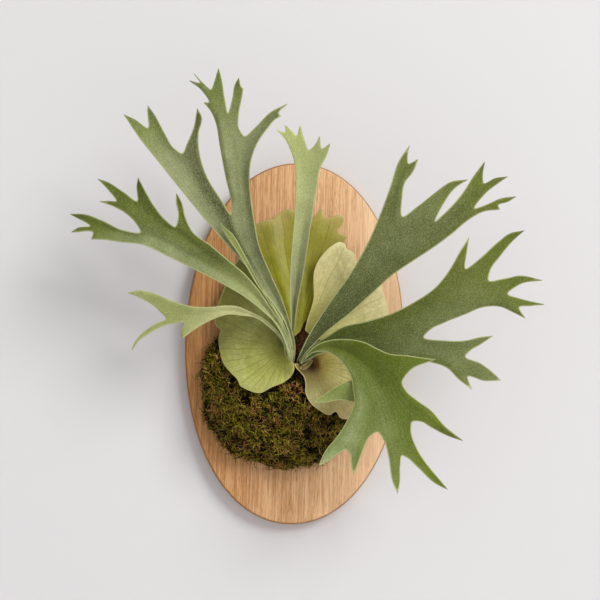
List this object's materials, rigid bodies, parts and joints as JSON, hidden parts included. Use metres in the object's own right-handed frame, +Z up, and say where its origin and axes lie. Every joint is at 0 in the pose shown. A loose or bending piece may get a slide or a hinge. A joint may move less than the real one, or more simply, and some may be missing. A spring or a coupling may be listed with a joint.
{
  "type": "mounted staghorn fern",
  "caption": "Staghorn fern with forked antler fronds and rounded shield fronds growing from a moss mound on an upright oval oak board that hangs flat on a wall.",
  "frame": {"origin": "middle of the board's flat back face, on the wall", "axes": "+Z up, +Y out of the board's back into the wall, +X to the right of someone facing the front, and the front faces -Y"},
  "size_m": [0.4969, 0.1686, 0.4747],
  "materials": {
    "oak": "satin oiled",
    "moss": "matt, tufted",
    "rhizome": "matt, scaly",
    "antler": "felted, matt",
    "antler_pale": "felted, matt",
    "shield": "waxy, veined",
    "shield_pale": "waxy, veined",
    "zinc": "zinc plated"
  },
  "bodies": {
    "root": {"oak_board": "oak", "moss_mound": "moss", "rhizome": "rhizome", "keyhole_plate": "zinc", "plate_screw_upper": "zinc", "plate_screw_lower": "zinc", "antler_frond_tall": "antler", "antler_frond_left": "antler", "antler_frond_upper_right": "antler", "antler_frond_right": "antler", "antler_frond_lower_right": "antler", "antler_frond_lower_left": "antler_pale", "antler_frond_centre": "antler_pale", "antler_frond_slender": "antler_pale", "shield_frond_left": "shield", "shield_frond_back": "shield", "shield_frond_right": "shield_pale", "shield_frond_lower": "shield_pale", "crown_bract": "shield_pale"}
  },
  "joints": []
}
